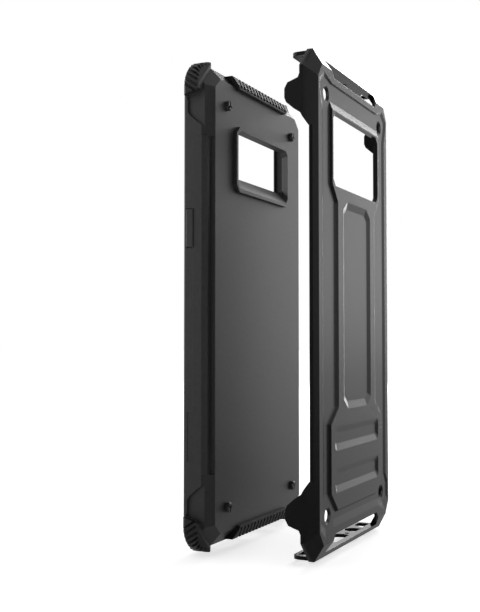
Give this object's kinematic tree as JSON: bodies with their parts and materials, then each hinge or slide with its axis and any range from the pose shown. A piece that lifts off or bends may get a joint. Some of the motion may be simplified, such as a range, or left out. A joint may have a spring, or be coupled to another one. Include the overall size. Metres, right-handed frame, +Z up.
{
  "type": "phone case",
  "caption": "Two-layer rugged phone case drawn apart: a soft inner shell with ribbed corner bumpers, and a hard outer frame that slides on and clips over it.",
  "frame": {"origin": "centre of the pocket floor, where the phone's back rests", "axes": "+Z up along the phone's long side, +Y out of the screen opening, +X to the right seen from the back"},
  "size_m": [0.0786, 0.0453, 0.1572],
  "materials": {
    "shell_rubber": "fine matte moulded soft plastic, dark grey",
    "bumper_rubber": "matte moulded soft plastic with slanting ridges",
    "grip_rubber": "matte moulded soft plastic, slotted",
    "bezel_rubber": "matte moulded soft plastic",
    "stud_rubber": "matte moulded soft plastic",
    "button_rubber": "matte moulded soft plastic",
    "frame_plastic": "satin hard plastic, dark grey, crisp chamfers"
  },
  "bodies": {
    "inner_case": {"inner_shell": "shell_rubber", "camera_bezel": "bezel_rubber", "upper_grip_bar": "grip_rubber", "lower_grip_bar": "grip_rubber", "upper_right_bumper": "bumper_rubber", "upper_left_bumper": "bumper_rubber", "lower_right_bumper": "bumper_rubber", "lower_left_bumper": "bumper_rubber", "upper_right_stud": "stud_rubber", "upper_left_stud": "stud_rubber", "lower_right_stud": "stud_rubber", "lower_left_stud": "stud_rubber"},
    "outer_frame": {"outer_shell": "frame_plastic"},
    "power_button": {"power_button_cover": "button_rubber"},
    "volume_rocker": {"volume_rocker_cover": "button_rubber"},
    "assistant_button": {"assistant_button_cover": "button_rubber"}
  },
  "joints": [
    {"name": "frame_slide", "type": "slide", "parent": "inner_case", "child": "outer_frame", "axis": [0, 1, 0], "range_m": [0, 0.0334]},
    {"name": "power_press", "type": "slide", "parent": "inner_case", "child": "power_button", "axis": [1, 0, 0], "range_m": [0, 0.00035], "stiffness_N_per_m": 800},
    {"name": "volume_rock", "type": "hinge", "parent": "inner_case", "child": "volume_rocker", "pos_m": [0.0368, 0.0061, 0.034], "axis": [0, 1, 0], "range_deg": [-1.2, 1.2], "stiffness_Nm_per_rad": 0.5},
    {"name": "assistant_press", "type": "slide", "parent": "inner_case", "child": "assistant_button", "axis": [-1, 0, 0], "range_m": [0, 0.00035], "stiffness_N_per_m": 800}
  ]
}
